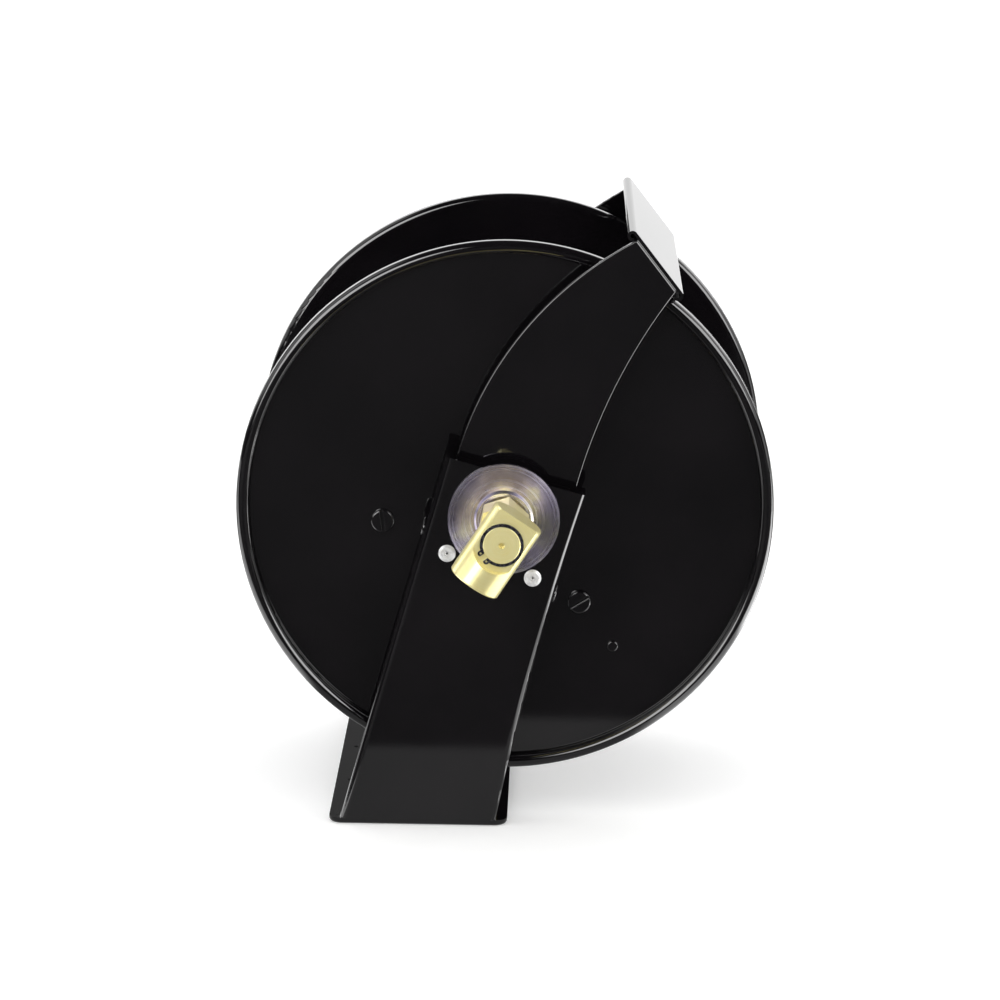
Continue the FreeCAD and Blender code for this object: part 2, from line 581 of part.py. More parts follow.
def blind_rivets():
    rivets = []
    for side in (NEAR, FAR):
        for turn in ("-1", "1"):
            x, z = rivet_place(turn)
            tail, flare = f"{HOUSING_BACK} - rivet_tail", "rivet_radius + rivet_flare"
            crown, floor = f"{WEB} + rivet_rise", f"{WEB} + rivet_well_floor"
            profile = [("rivet_pin", tail), (flare, tail), (flare, HOUSING_BACK),
                       ("rivet_radius", HOUSING_BACK), ("rivet_radius", WEB),
                       ("rivet_head", WEB), ("rivet_head", f"{WEB} + rivet_edge"),
                       ("rivet_head - rivet_slope", crown), ("rivet_well", crown),
                       ("rivet_well_foot", floor), ("rivet_pin", floor)]
            rivets.append(turned(f"rivet_{SIDE_NAME[side]}_{'a' if turn == '-1' else 'b'}", profile, side,
                                 (f"{HUB[0]} + {x}", f"{HUB[1]} + {z}")))
    node(group("blind_rivets", rivets), "blind_rivets")


def spring_arbor():
    """The fixed spindle that the spring side turns on, slotted for the spring's inner end."""
    bar = turned("arbor_bar", [("0", "arbor_inner"), ("arbor_radius", "arbor_inner"),
                               ("arbor_radius", "arbor_outer - arbor_edge"),
                               ("arbor_radius - arbor_edge", "arbor_outer"), ("0", "arbor_outer")], FAR)
    slot = bind(doc.addObject("Part::Box", "arbor_slot"), Length="arbor_slot",
                Width="spring_width + 2 * slot_room", Height="arbor_radius + past_end")
    put(slot, f"{HUB[0]} - arbor_slot / 2", "spring_start - slot_room", HUB[1])
    node(cut("spring_arbor", bar, slot), "spring_arbor")
    nut = hexagon("arbor_nut_solid", "arbor_nut_flats", BOSS_FACE, f"{BOSS_FACE} + arbor_nut_rise", FAR)
    way = way_through("arbor_nut_way", "arbor_radius", BOSS_FACE, f"{BOSS_FACE} + arbor_nut_rise", FAR)
    node(cut("arbor_nut", nut, way), "arbor_nut")


def latch_parts():
    """The stud on the far arm, the pawl that swings on it, its spring and its clip."""
    pivot = (f"{HUB[0]} + latch_across", f"{HUB[1]} + latch_up")
    low = f"({PANEL} + latch_gap)"
    high = f"({low} + latch_sheet)"
    clip_low = f"({high} + clip_gap)"
    clip_high = f"({clip_low} + clip_sheet)"
    thick, clip = "latch_stud_radius + stud_step", "latch_stud_radius + clip_out"
    profile = [("0", f"{low} - stud_end"), ("latch_stud_radius", f"{low} - stud_end"),
               ("latch_stud_radius", clip_low), (clip, clip_low), (clip, clip_high), (thick, clip_high),
               (thick, ARM_BACK), ("0", ARM_BACK)]
    stud = turned("latch_stud", profile, FAR, pivot)
    node(stud, "latch_stud")
    body = new_body("latch_pawl_bar")
    face = sketch_in(body, "pawl_face")
    tip, half = "latch_tip_out", "latch_tip_half"
    back = f"-pawl_skew - {half}"
    outline(face, [(f"-{half}", tip), (half, tip), (half, "ratchet_radius + pawl_neck"),
                   ("latch_across + pawl_waist", "latch_up - latch_boss"),
                   ("latch_across - pawl_waist", "latch_up + latch_boss"),
                   (back, "ratchet_radius + pawl_back"), (back, "ratchet_radius + pawl_side")])
    pad(body, face, "latch_sheet")
    put(body, HUB[0], high, HUB[1], FACING)
    boss = rod("pawl_boss", "latch_boss", low, high, FAR, pivot)
    way = way_through("pawl_way", "latch_stud_radius + latch_bore_gap", low, high, FAR, pivot)
    node(cut("latch_pawl", joined("pawl_solid", body, boss), way), "latch_pawl")
    depth = f"({clip_high} + 2 * latch_wire)"
    bow = bind(doc.addObject("Part::Torus", "spring_bow"), Radius1="latch_coil", Radius2="latch_wire",
               Angle3="180")
    put(bow, pivot[0], depth, pivot[1], ALONG_Y * Rotation(Vector(0, 0, 1), 180))
    legs = []
    for hand in (-1, 1):
        leg = bind(doc.addObject("Part::Cylinder", f"spring_leg_{hand + 1}"), Radius="latch_wire",
                   Height="latch_leg")
        legs.append(put(leg, f"{pivot[0]} + {hand} * latch_coil", depth, f"{pivot[1]} - latch_leg"))
    node(joined("latch_spring", bow, *legs), "latch_spring")


# ---------------------------------------------------------------- reel

def flange_disc(side):
    """A pressed disc: a flat panel whose edge is rolled outwards into a tube all round."""
    name = "flange_disc_" + SIDE_NAME[side]
    ring, depth = "(disc_radius - rim_roll)", f"{side} * ({RIM} - rim_roll)"
    panel = tube(name + "_panel", ring, "disc_eye", PANEL_BACK, PANEL, side)
    rolls = []
    for part, radius in (("roll", "rim_roll"), ("hollow", "rim_roll - disc_sheet")):
        roll = bind(doc.addObject("Part::Torus", f"{name}_{part}"), Radius1=ring, Radius2=radius)
        rolls.append(put(roll, HUB[0], depth, HUB[1], ALONG_Y))
    gap = tube(name + "_roll_gap", f"{ring} - rim_roll + 2 * disc_sheet", f"{ring} - rim_roll - past_end",
               PANEL, f"{PANEL} + roll_gap", side)
    holes = [way_through(f"{name}_hole_{index}", "tie_radius", PANEL_BACK, PANEL, side,
                         polar("tie_out", f"(tie_first + {120 * index})")) for index in range(3)]
    if side == NEAR:
        holes.append(way_through(name + "_stop_hole", "stop_radius", PANEL_BACK, PANEL, side,
                                 polar("stop_out", "stop_turn")))
    rolled = joined(name + "_rimmed", panel, rolls[0])
    node(cut(name, rolled, rolls[1], gap, *holes), name)


def drum():
    shell = tube("drum_tube", "drum_radius", "drum_radius - drum_sheet", f"-{PANEL_BACK}", PANEL_BACK)
    way = spoke("drum_way", "riser_radius", "drum_radius - drum_way_half", "drum_radius + drum_way_half",
                "outlet_turn", OUTLET_DEPTH)
    node(cut("drum_shell", shell, way), "drum_shell")
    near_plate = tube("hub_plate_near", "hub_plate_radius", "shaft_radius",
                      f"{PANEL_BACK} - hub_plate_sheet", PANEL_BACK)
    node(near_plate, "hub_plate_near")


def spring_drive():
    """The spring case inside the drum, its cover, its bushes and the flat spiral spring."""
    cover_back = f"({PANEL_BACK} - hub_plate_sheet)"
    cover = tube("spring_case_cover", "case_radius", "bush_radius", cover_back, PANEL_BACK, FAR)
    node(cover, "spring_case_cover")
    case = turned("spring_case", [("bush_radius", "case_inner"), ("case_radius", "case_inner"),
                                  ("case_radius", cover_back), ("case_radius - case_sheet", cover_back),
                                  ("case_radius - case_sheet", "case_inner + case_sheet"),
                                  ("bush_radius", "case_inner + case_sheet")], FAR)
    node(case, "spring_case")
    bore = "arbor_radius + bush_gap"
    start, end = f"{cover_back} - bush_past", f"{PANEL_BACK} + bush_flange_sheet"
    outer_bush = [(bore, start), ("bush_radius", start), ("bush_radius", PANEL_BACK),
                  ("bush_flange", PANEL_BACK), ("bush_flange", end), (bore, end)]
    node(turned("arbor_bush_outer", outer_bush, FAR), "arbor_bush_outer")
    end, shoulder = "case_inner + bush_inner_end", "case_inner + case_sheet"
    inner_bush = [(bore, end), ("bush_flange", end), ("bush_flange", shoulder), ("bush_radius", shoulder),
                  ("bush_radius", "case_inner"), ("0", "case_inner"), ("0", "case_inner + bush_cap"),
                  (bore, "case_inner + bush_cap")]
    node(turned("arbor_bush_inner", inner_bush, FAR), "arbor_bush_inner")
    mainspring()


def mainspring():
    """A flat spiral strip made of half circles that grow by half the pitch each."""
    inner, strip = number("spring_inner"), number("spring_strip")
    turns = int(number("spring_turns"))
    pitch = (number("spring_outer") - inner - strip) / turns
    item = doc.addObject("Part::Feature", "mainspring")
    bands = []
    for half in range(2 * turns):
        radius = inner + half * pitch / 2
        centre = Vector(pitch / 4 if half % 2 else -pitch / 4, 0, 0)
        start, end = (0, 180) if half % 2 == 0 else (180, 360)
        radius += pitch / 4
        disc = Part.makeCylinder(radius + strip, number("spring_width"), centre, Vector(0, 0, 1), 180)
        hollow = Part.makeCylinder(radius, number("spring_width"), centre, Vector(0, 0, 1), 180)
        band = disc.cut(hollow)
        band.rotate(centre, Vector(0, 0, 1), start)
        bands.append(band)
    item.Shape = bands[0].multiFuse(bands[1:]).removeSplitter()
    put(item, HUB[0], "spring_start", HUB[1], ALONG_Y)
    node(item, "mainspring")


def tie_bolts():
    """Long bolts through both discs, with round slotted heads near and nuts far."""
    bolts, nuts = [], []
    for index, slot_turn in enumerate(TIE_SLOT_TURNS):
        centre = polar("tie_out", f"(tie_first + {120 * index})")
        crown = f"{PANEL} + tie_head_rise"
        end = f"-({PANEL} + tie_nut_rise + tie_end)"
        profile = [("0", end), ("tie_radius", end),
                   ("tie_radius", PANEL), ("tie_head", PANEL), ("tie_head", crown), ("0", crown)]
        bolt = turned(f"tie_bolt_{index}", profile, NEAR, centre)
        round_edges(bolt, f"tie_bolt_{index}_crown", "tie_head_round",
                    lambda edge: edge.Curve.TypeId == "Part::GeomCircle"
                    and abs(edge.CenterOfMass.y + number(crown)) < 1e-3)
        slot = bind(doc.addObject("Part::Box", f"tie_slot_{index}"), Length="3 * tie_head",
                    Width="tie_slot", Height="tie_slot_deep + past_end")
        turn = FACING * Rotation(Vector(0, 0, 1), slot_turn)
        corner = turn.multVec(Vector(-1.5 * number("tie_head"), -number("tie_slot") / 2, 0))
        put(slot, f"{centre[0]} + {corner.x:.6f}", f"-({crown} - tie_slot_deep)",
            f"{centre[1]} + {corner.z:.6f}", turn)
        bolts.append(cut(f"tie_bolt_slotted_{index}", bolt, slot))
        top = f"{PANEL} + tie_nut_rise"
        nut = hexagon(f"tie_nut_solid_{index}", "tie_nut_flats", PANEL, top, FAR, centre)
        way = way_through(f"tie_nut_way_{index}", "tie_radius", PANEL, top, FAR, centre)
        nuts.append(cut(f"tie_nut_{index}", nut, way))
    node(group("tie_bolts", bolts), "tie_bolts")
    node(group("tie_nuts", nuts), "tie_nuts")


def stop_rivet():
    centre = polar("stop_out", "stop_turn")
    tail = f"{PANEL_BACK} - stop_tail"
    profile = [("0", tail), ("stop_head", tail), ("stop_head", PANEL_BACK),
               ("stop_radius", PANEL_BACK), ("stop_radius", PANEL), ("stop_head", PANEL),
               ("stop_head", f"{PANEL} + stop_rise"), ("0", f"{PANEL} + stop_rise")]
    rivet = turned("disc_rivet", profile, NEAR, centre)
    round_edges(rivet, "disc_rivet_crown", "stop_round",
                lambda edge: edge.Curve.TypeId == "Part::GeomCircle"
                and abs(edge.CenterOfMass.y + number(f"{PANEL} + stop_rise")) < 1e-3)
    node(rivet, "disc_rivet")


def inlet_shaft():
    """The hollow shaft that turns with the reel, its collar and the collar's screw."""
    node(tube("inlet_shaft", "shaft_radius", "shaft_bore", "shaft_inner", "shaft_outer"), "inlet_shaft")
    start, end = "collar_inner", "(collar_inner + collar_width)"
    ring = tube("collar_ring", "collar_radius", "shaft_radius", start, end)
    middle = f"-({start} + collar_width / 2)"
    way = spoke("collar_way", "collar_screw_radius", "shaft_radius - past_end", "collar_radius + past_end",
                "90", middle)
    node(cut("shaft_collar", ring, way), "shaft_collar")
    top = "collar_radius - collar_screw_sunk"
    screw = spoke("collar_screw_bar", "collar_screw_radius", "shaft_radius", top, "90", middle)
    socket = doc.addObject("Part::Prism", "collar_screw_socket")
    socket.Polygon = 6
    bind(socket, Circumradius="socket_radius", Height="socket_deep + past_end")
    put(socket, HUB[0], middle, f"{HUB[1]} + {top} - socket_deep")
    node(cut("collar_screw", screw, socket), "collar_screw")


def water_outlet():
    """The manifold on the shaft's inner end and the riser to the hose coupling on the drum."""
    depth = OUTLET_DEPTH
    block = rod("manifold_block", "manifold_radius", "shaft_inner - manifold_length + manifold_lap",
                "shaft_inner + manifold_lap")
    seat_top = "coupling_inner + coupling_seat"
    riser = spoke("riser_bar", "riser_radius", "riser_inner", seat_top, "outlet_turn", depth)
    way = spoke("riser_way", "riser_bore", "0", f"{seat_top} + past_end", "outlet_turn", depth)
    socket = rod("manifold_socket", "shaft_radius", "shaft_inner", "shaft_inner + manifold_lap + past_end")
    gallery = rod("manifold_gallery", "shaft_bore", "shaft_inner - manifold_length / 2 - gallery_past",
                  "shaft_inner + past_end")
    drilled = cut("manifold_drilled", joined("manifold_solid", block, riser), way)
    node(cut("outlet_manifold", cut("manifold_socketed", drilled, socket), gallery), "outlet_manifold")
    coupling = doc.addObject("Part::Prism", "coupling_bar")
    coupling.Polygon = 6
    bind(coupling, Circumradius="coupling_flats / sqrt(3)", Height="coupling_length")
    x, z = polar("coupling_inner", "outlet_turn")
    put(coupling, x, depth, z, Rotation(Vector(0, 1, 0), 90 - number("outlet_turn")))
    seat = spoke("coupling_socket", "riser_radius", "coupling_inner - past_end", seat_top,
                 "outlet_turn", depth)
    thread = spoke("coupling_thread", "inlet_radius", f"{seat_top} - join_lap",
                   "coupling_inner + coupling_length + past_end", "outlet_turn", depth)
    node(cut("outlet_coupling", coupling, seat, thread), "outlet_coupling")


def ratchet():
    start, end = PANEL, f"({PANEL} + ratchet_sheet)"
    ring = tube("ratchet_blank", "ratchet_radius", "ratchet_bore", start, end, FAR)
    notches = []
    for index in range(NOTCHES):
        notch = bind(doc.addObject("Part::Box", f"notch_{index}"), Length="2 * notch_half",
                     Width="ratchet_sheet + 2 * past_end", Height="2 * notch_deep")
        turn = 360 / NOTCHES * index
        spin = Rotation(Vector(0, 1, 0), turn)
        out, half = "(ratchet_radius - notch_deep)", "notch_half"
        x = f"{HUB[0]} + {out} * sin({turn}) - {half} * cos({turn})"
        z = f"{HUB[1]} + {out} * cos({turn}) + {half} * sin({turn})"
        notches.append(put(notch, x, f"{PANEL} - past_end", z, spin))
    screws, ways = [], []
    for index in range(3):
        centre = polar("ratchet_screw_out", f"{30 + 120 * index}")
        ways.append(way_through(f"ratchet_way_{index}", "ratchet_screw_radius", PANEL, end, FAR, centre))
        top = f"{end} + ratchet_screw_rise"
        profile = [("0", PANEL), ("ratchet_screw_radius", PANEL), ("ratchet_screw_radius", end),
                   ("ratchet_screw_head", end), ("ratchet_screw_head", f"{end} + ratchet_screw_edge"),
                   ("ratchet_screw_head - ratchet_screw_slope", top), ("0", top)]
        screws.append(turned(f"ratchet_screw_{index}", profile, FAR, centre))
    node(cut("ratchet_ring", ring, *notches, *ways), "ratchet_ring")
    node(group("ratchet_screws", screws), "ratchet_screws")


# ---------------------------------------------------------------- swivel

def swivel():
    """The stem turns with the reel; the body stays still on the supply hose."""
    hex_end = "(hex_inner + hex_length)"
    groove_end = "(ring_seat + ring_sheet)"
    dimple_floor, bore_end = "stem_end - stem_dimple_deep", "bar_depth + stem_bore_past"
    profile = [("shaft_bore", "shaft_outer"), ("stem_neck", "shaft_outer"), ("stem_neck", "hex_inner"),
               ("stem_radius", "hex_inner"), ("stem_radius", "ring_seat"), ("ring_groove", "ring_seat"),
               ("ring_groove", groove_end), ("stem_radius", groove_end),
               ("stem_radius", "stem_end - stem_edge"), ("stem_radius - stem_edge", "stem_end"),
               ("stem_dimple", "stem_end"), ("stem_dimple", dimple_floor),
               ("0", dimple_floor), ("0", bore_end), ("shaft_bore", bore_end)]
    stem = turned("stem_bar", profile)
    collar = hexagon("stem_hex", "hex_flats", "hex_inner", hex_end, turn=number("hex_turn"))
    way = way_through("stem_hex_way", "stem_radius - join_lap", "hex_inner", hex_end)
    ports = [spoke(f"stem_port_{turn}", "port_radius", "shaft_bore - past_end", "stem_radius + past_end",
                   str(turn), "-bar_depth") for turn in range(0, 360, 60)]
    whole = joined("stem_solid", stem, cut("stem_hex_ring", collar, way))
    node(cut("swivel_stem", whole, *ports), "swivel_stem")

    along = Rotation(Vector(0, 1, 0), 180 + number("bar_lean"))

    def bar(name, radius, start, end):
        """A round bar along the inlet's axis; distances go from the stem towards the inlet."""
        item = bind(doc.addObject("Part::Cylinder", name), Radius=radius, Height=f"({end}) - ({start})")
        return put(item, f"{HUB[0]} - ({start}) * sin(bar_lean)", "-bar_depth",
                   f"{HUB[1]} - ({start}) * cos(bar_lean)", along)

    block = bar("swivel_bar", "bar_radius", "-bar_upper", "bar_lower")
    rims = doc.addObject("Part::Chamfer", "swivel_bar_rims")
    rims.Base = block
    doc.recompute()
    edge_size = number("bar_edge")
    rims.Edges = [(index, edge_size, edge_size) for index, edge in enumerate(block.Shape.Edges, 1)
                  if edge.Curve.TypeId == "Part::GeomCircle"]
    spot = rod("swivel_spot", "spot_radius", "spot_depth", "spot_depth + bar_radius")
    crown = bind(doc.addObject("Part::Box", "swivel_crown_cut"), Length="4 * bar_radius", Width="bar_radius",
                 Height="bar_upper")
    put(crown, f"{HUB[0]} - 2 * bar_radius * cos(bar_lean)", "-spot_depth - bar_radius",
        f"{HUB[1]} + 2 * bar_radius * sin(bar_lean)", Rotation(Vector(0, 1, 0), number("bar_lean")))
    stem_way = way_through("swivel_stem_way", "stem_radius + swivel_gap", "bar_depth - bar_radius",
                           "bar_depth + bar_radius")
    gallery = tube("swivel_gallery", "gallery_radius", "stem_radius - past_end", "bar_depth - gallery_half",
                   "bar_depth + gallery_half")
    throat = bar("swivel_throat", "shaft_bore", "throat_start", "bar_lower")
    inlet = bar("swivel_inlet", "inlet_radius", "bar_lower - inlet_length", "bar_lower + past_end")
    seals, grooves = [], []
    for index, hand in enumerate((-1, 1)):
        depth = f"(bar_depth + {hand} * (gallery_half + seal_beyond))"
        seal = bind(doc.addObject("Part::Torus", f"seal_{index}"),
                    Radius1="stem_radius + seal_wire + seal_gap", Radius2="seal_wire")
        seals.append(put(seal, HUB[0], f"-{depth}", HUB[1], ALONG_Y))
        grooves.append(tube(f"seal_groove_{index}", "stem_radius + 2 * (seal_wire + seal_gap)",
                            "stem_radius - past_end", f"{depth} - seal_groove_half",
                            f"{depth} + seal_groove_half"))
    node(group("swivel_seals", seals), "swivel_seals")
    tools = (spot, crown, stem_way, gallery, throat, inlet, *grooves)
    node(cut("swivel_body", rims, *tools), "swivel_body")
    retaining_ring()


def retaining_ring():
    """An open ring in the stem's groove with two drilled lugs beside its gap."""
    start, end = "(ring_seat + ring_clear)", "(ring_seat + ring_sheet - ring_clear)"
    ring = tube("ring_blank", "ring_radius", "ring_groove", start, end)
    gap = bind(doc.addObject("Part::Box", "ring_gap"), Length="bar_radius - ring_groove",
               Width="ring_sheet + 2 * past_end", Height="ring_opening")
    turn = number("ring_turn")
    spin = Rotation(Vector(0, 1, 0), -turn)
    inner, half = number("ring_groove - past_end"), number("ring_opening") / 2
    corner = spin.multVec(Vector(inner, 0, -half))
    put(gap, f"{HUB[0]} + {corner.x:.6f}", "-ring_seat - ring_sheet - past_end",
        f"{HUB[1]} + {corner.z:.6f}", spin)
    lugs, ways = [], []
    for index, hand in enumerate((-1, 1)):
        place = polar("(ring_radius + lug_out)", f"(ring_turn + {hand} * lug_turn)")
        lugs.append(rod(f"ring_lug_{index}", "lug_radius", start, end, NEAR, place))
        ways.append(way_through(f"ring_lug_way_{index}", "lug_bore", start, end, NEAR, place))
    node(cut("retaining_ring", joined("ring_lugged", ring, *lugs), gap, *ways), "retaining_ring")


# ---------------------------------------------------------------- build and write

base_plate()
guide_arms = []
for hand_side in (NEAR, FAR):
    guide_arms.append(guide_arm(hand_side, post(hand_side)))
    hub_cover(hand_side)
    flange_disc(hand_side)
arm_bolts()
cross_plate(guide_arms)
housing("bearing_housing", NEAR, "bearing_radius", "bearing_radius + bearing_wall",
        f"({HOUSING_BACK} - bearing_width)")
housing("arbor_bracket", FAR, "arbor_radius", "arbor_radius + bracket_wall",
        f"({HOUSING_BACK} - bracket_deep)")
ball_bearing()
blind_rivets()
spring_arbor()
latch_parts()
drum()
spring_drive()
tie_bolts()
stop_rivet()
inlet_shaft()
water_outlet()
ratchet()
swivel()
doc.recompute()

for item in doc.Objects:
    if {"Invalid", "Error"} & set(item.State):
        raise RuntimeError(f"{item.Name} did not build: {item.State} {item.getStatusString()}")
for item in NODES:
    if item.Shape.isNull() or not item.Shape.isValid():
        raise RuntimeError(f"{item.Label} has no valid shape")

os.makedirs("parts", exist_ok=True)
for item in NODES:
    item.Shape.exportStep(f"parts/{item.Label}.step")
    print(f"{item.Label}: {len(item.Shape.Solids)} solids, {item.Shape.Volume / 1000:.1f} cm3")
print(len(NODES), "nodes")
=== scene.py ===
import json
import math

import bpy
from mathutils import Matrix, Vector

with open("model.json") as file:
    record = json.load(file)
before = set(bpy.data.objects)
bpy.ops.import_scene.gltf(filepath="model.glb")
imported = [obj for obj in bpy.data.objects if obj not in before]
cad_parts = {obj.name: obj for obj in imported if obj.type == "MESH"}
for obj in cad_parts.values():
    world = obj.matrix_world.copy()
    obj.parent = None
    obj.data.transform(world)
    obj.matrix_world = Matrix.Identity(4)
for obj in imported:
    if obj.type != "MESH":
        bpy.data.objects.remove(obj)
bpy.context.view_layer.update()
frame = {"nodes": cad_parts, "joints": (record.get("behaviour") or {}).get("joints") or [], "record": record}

# Metres, in the row frame: +Z up, the reel's axis along Y, the water inlet towards -Y.
NODES = frame["nodes"]
JOINTS = {joint["name"]: joint for joint in frame["joints"]}
HUB = Vector(JOINTS["reel_spin"]["pos_m"])

# Camera, fitted to the outlines of both discs
CAMERA_PLACE = Vector((0.04498, -3.61405, 0.71466)) + HUB
CAMERA_YAW = -0.808
CAMERA_PITCH = 11.556
CAMERA_ROLL = 0.779
CAMERA_LENS = 156.0
CAMERA_SENSOR = 36

# What the gloss sees of the floor: dim from the reel forward to an edge, pale far behind, and
# brighter at both sides between two depths.
FLOOR_SIZE = 14
FLOOR_EDGE = -0.445     # along Y
FLOOR_EDGE_SOFT = 0.04
FLOOR_FRONT = 0.30      # brightness behind that edge
FLOOR_BEHIND = 0.7      # along Y, where the pale part starts
FLOOR_BEHIND_SOFT = 0.1
SIDE_DEPTHS = (-0.46, 0.14)
SIDE_DEPTHS_SOFT = 0.08
FLOOR_SIDES = [         # where each starts along X, whether it lies to the left, and its brightness
    (-0.18, True, 2.2),
    (0.22, False, 2.0),
    (0.46, False, 5.0),
]
FLOOR_SIDES_SOFT = 0.06

# The studio, as the gloss sees it: each panel is an azimuth range (0 is +Y, positive towards +X),
# an elevation range, how soft its edges are, in degrees, and a brightness.
PANELS = [
    ((-172, -134), (2, 28), 5, 7.0),     # low box in front, upper left
    ((122, 158), (7, 31), 5, 7.0),       # low box in front, upper right
    ((-130, -86), (12, 58), 8, 1.4),     # soft fill on the left
    ((84, 118), (-3, 60), 8, 1.6),       # soft fill on the right
    ((-62, 82), (24, 60), 6, 4.5),       # overhead strip behind
    ((-66, -16), (4, 24), 5, 3.5),       # its lower wing on the left
    ((18, 60), (8, 24), 5, 3.5),         # and on the right
]
BACKDROP = 0.09         # the background behind the reel
BACKDROP_HALF = 95      # degrees either side of +Y
BACKDROP_SOFT = 20
FRONT = 0.012           # the dark studio behind the camera
DIFFUSE_SKY = 1.25      # soft light from all round
FLOOR_LIFT = 0.22       # keeps the shadow on the floor faint
CARD_ACROSS = (0.0, 1.1)
CARD_BACK = 1.2
CARD_UP = (0.31, 0.86)
CARD_GLOW = 1.0         # also the pale floor's

# Grain of the coat and the metals: noise scales per metre, heights and edges in metres
PEEL_SCALE = 420
PEEL_HEIGHT = 0.0002
SPECK_SCALE = 1500
ZINC_RINGS = 420
BRASS_RINGS = 900
METAL_GRAIN = 500
METAL_GRAIN_HEIGHT = 0.00015
FASTENER_EDGE = 0.0007


# ---------------------------------------------------------------- node helpers

class Nodes:
    """Builds one material's node tree, a step at a time."""

    def __init__(self, name):
        self.material = bpy.data.materials.new(name)
        self.material.use_nodes = True
        self.tree = self.material.node_tree
        self.shader = self.tree.nodes["Principled BSDF"]

    def add(self, kind, **settings):
        made = self.tree.nodes.new(kind)
        for key, value in settings.items():
            setattr(made, key, value)
        return made

    def wire(self, source, target):
        self.tree.links.new(source, target)

    def place(self, start=(0, 0, 0)):
        """Object coordinates, measured from a point."""
        where = self.add("ShaderNodeTexCoord")
        mapping = self.add("ShaderNodeMapping", vector_type="TEXTURE")
        mapping.inputs["Location"].default_value = start
        self.wire(where.outputs["Object"], mapping.inputs["Vector"])
        return mapping.outputs["Vector"]

    def split(self, vector):
        """A vector's X, Y and Z."""
        made = self.add("ShaderNodeSeparateXYZ")
        self.wire(vector, made.inputs["Vector"])
        return [made.outputs[axis] for axis in "XYZ"]

    def noise(self, vector, scale, detail, rough=0.5):
        made = self.add("ShaderNodeTexNoise")
        made.inputs["Scale"].default_value = scale
        made.inputs["Detail"].default_value = detail
        made.inputs["Roughness"].default_value = rough
        self.wire(vector, made.inputs["Vector"])
        return made.outputs["Fac"]

    def ramp(self, fac, stops):
        """A colour ramp; stops are (position, grey or colour)."""
        made = self.add("ShaderNodeValToRGB")
        band = made.color_ramp
        for index, (position, colour) in enumerate(stops):
            stop = band.elements[index] if index < 2 else band.elements.new(position)
            rgb = (colour,) * 3 if isinstance(colour, (int, float)) else colour
            stop.position = position
            stop.color = (*rgb, 1)
        self.wire(fac, made.inputs["Fac"])
        return made.outputs["Color"]

    def maths(self, operation, *values):
        made = self.add("ShaderNodeMath", operation=operation)
        for slot, value in zip(made.inputs, values):
            if isinstance(value, (int, float)):
                slot.default_value = value
            else:
                self.wire(value, slot)
        return made.outputs["Value"]

    def mix(self, fac, first, second):
        """A blend of two colours, each a socket or a tuple."""
        made = self.add("ShaderNodeMix", data_type="RGBA")
        slots = [slot for slot in made.inputs if slot.type == "RGBA"]
        for slot, value in zip(slots, (first, second)):
            if isinstance(value, tuple):
                slot.default_value = (*value, 1)
            else:
                self.wire(value, slot)
        self.wire(fac, made.inputs[0])
        return made.outputs[2]

    def bump(self, height, strength, distance, base=None):
        made = self.add("ShaderNodeBump")
        made.inputs["Strength"].default_value = strength
        made.inputs["Distance"].default_value = distance
        self.wire(height, made.inputs["Height"])
        if base is not None:
            self.wire(base, made.inputs["Normal"])
        return made.outputs["Normal"]

    def step(self, value, edge, soft, falling=False):
        """0 below an edge and 1 above it, or the other way round, over a soft width."""
        made = self.add("ShaderNodeMapRange", interpolation_type="SMOOTHSTEP")
        made.inputs["From Min"].default_value = edge - soft / 2
        made.inputs["From Max"].default_value = edge + soft / 2
        made.inputs["To Min"].default_value = 1 if falling else 0
        made.inputs["To Max"].default_value = 0 if falling else 1
        self.wire(value, made.inputs["Value"])
        return made.outputs["Result"]

    def band(self, value, low, high, soft):
        """1 inside a range and 0 outside it, with soft edges."""
        below = self.step(value, high, soft, falling=True)
        return self.maths("MULTIPLY", self.step(value, low, soft), below)

    def turned_grain(self):
        """The direction of a lathe's grooves about the piece's own middle."""
        return self.add("ShaderNodeTangent", direction_type="RADIAL", axis="Y").outputs["Tangent"]

    def eased_edges(self, radius):
        """Sharp edges shaded as if eased by a small radius."""
        made = self.add("ShaderNodeBevel", samples=4)
        made.inputs["Radius"].default_value = radius
        return made.outputs["Normal"]

    def finish(self, **values):
        """Sets the shader's inputs, with _ for each space in a name, and gives the material."""
        for key, value in values.items():
            slot = self.shader.inputs[key.replace("_", " ")]
            if isinstance(value, bpy.types.NodeSocket):
                self.wire(value, slot)
            elif isinstance(value, tuple):
                slot.default_value = (*value, 1)
            else:
                slot.default_value = value
        return self.material


class World(Nodes):
    """The same helpers for the world's node tree."""

    def __init__(self, name):
        world = bpy.data.worlds.new(name)
        bpy.context.scene.world = world
        world.use_nodes = True
        self.tree = world.node_tree
        self.shader = self.tree.nodes["Background"]


# ---------------------------------------------------------------- materials

def powder_coat(name, eased=0.0):
    """Gloss black powder coat: faint orange peel, soft clouds and a trace of dust."""
    n = Nodes(name)
    where = n.place()
    peel = n.noise(where, PEEL_SCALE, 2)
    cloud = n.noise(where, 9, 4, 0.6)
    specks = n.noise(where, SPECK_SCALE, 2)
    clouded = n.ramp(cloud, [(0.35, 0), (0.75, 1)])
    colour = n.mix(clouded, (0.0032, 0.0028, 0.0034), (0.0062, 0.0052, 0.0062))
    dust = n.ramp(specks, [(0.72, 0), (0.8, 0.25)])
    colour = n.mix(dust, colour, (0.035, 0.032, 0.034))
    rough = n.ramp(cloud, [(0.3, 0.045), (0.8, 0.085)])
    normal = n.bump(peel, 0.08, PEEL_HEIGHT, n.eased_edges(eased) if eased else None)
    return n.finish(Base_Color=colour, Roughness=rough, Normal=normal, Coat_Weight=0.4,
                    Coat_Roughness=0.03)


